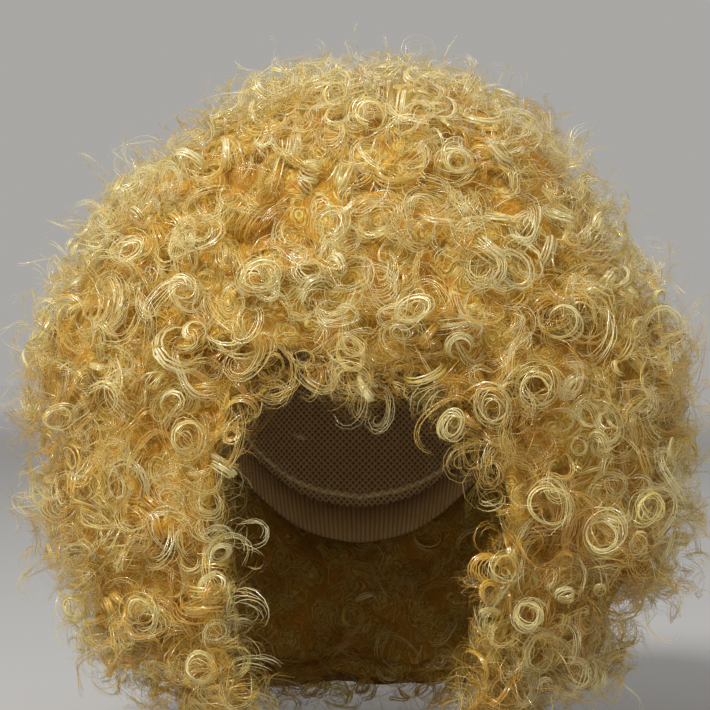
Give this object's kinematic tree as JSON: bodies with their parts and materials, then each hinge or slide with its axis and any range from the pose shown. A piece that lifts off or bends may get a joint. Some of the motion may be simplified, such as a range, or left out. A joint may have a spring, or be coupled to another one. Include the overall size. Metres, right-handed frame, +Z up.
{
  "type": "curly wig",
  "caption": "Golden blonde curly wig with a full round shape of loose ringlets, a fringe over the brow, and a net cap with an elastic edge band.",
  "frame": {"origin": "where the top of the head meets the inside of the cap", "axes": "+Z up along the head, -Y towards the face opening, +X to the viewer's right when the face opening is looked at"},
  "size_m": [0.3039, 0.2954, 0.2943],
  "materials": {
    "hair": "glossy synthetic hair fibre, permed in ringlets",
    "net": "soft stretch net with sewn rows of hair",
    "elastic": "ribbed knitted elastic"
  },
  "bodies": {
    "root": {"cap_net": "net", "edge_band": "elastic", "hair_crown": "hair", "hair_fringe": "hair", "hair_left": "hair", "hair_right": "hair", "hair_back": "hair", "hair_nape": "hair"}
  },
  "joints": []
}
